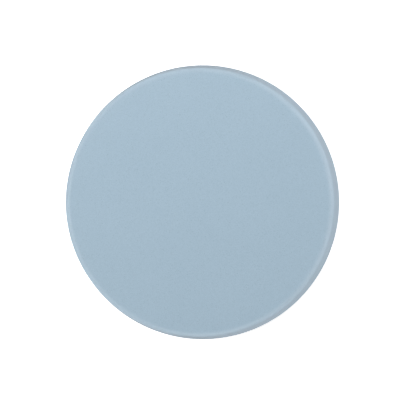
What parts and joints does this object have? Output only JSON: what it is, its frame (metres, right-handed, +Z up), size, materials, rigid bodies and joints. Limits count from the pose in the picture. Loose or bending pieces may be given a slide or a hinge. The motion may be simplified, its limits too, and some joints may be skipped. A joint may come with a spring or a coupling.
{
  "type": "air stone",
  "caption": "Round disc air stone: a porous stone slab with a rounded edge, bonded to a moulded base on suction-cup feet, with a swivelling barbed elbow for the air hose underneath.",
  "frame": {"origin": "on the disc's axis, in the plane of the suction cups' lips", "axes": "+Z up along the disc's axis, through the stone's face; +X along the hose barb as stored"},
  "size_m": [0.1, 0.1, 0.028],
  "materials": {
    "stone": "matt, fine-grained bonded mineral, pale blue-grey",
    "sealant": "off-white cured sealant",
    "base": "moulded, fine matt texture, slate blue-grey",
    "elbow": "moulded, satin, darker slate blue-grey",
    "seal_ring": "black nitrile rubber",
    "clip": "stainless spring steel",
    "cup": "soft milky PVC"
  },
  "bodies": {
    "disc": {"porous_stone": "stone", "bond_seal": "sealant", "base_plate": "base", "suction_cup_front_right": "cup", "suction_cup_back_right": "cup", "suction_cup_back_left": "cup", "suction_cup_front_left": "cup"},
    "inlet": {"inlet_elbow": "elbow", "inlet_o_ring": "seal_ring", "inlet_clip": "clip"}
  },
  "joints": [
    {"name": "inlet_swivel", "type": "hinge", "parent": "disc", "child": "inlet", "pos_m": [0, 0, 0.0112], "axis": [0, 0, 1], "continuous": true}
  ]
}
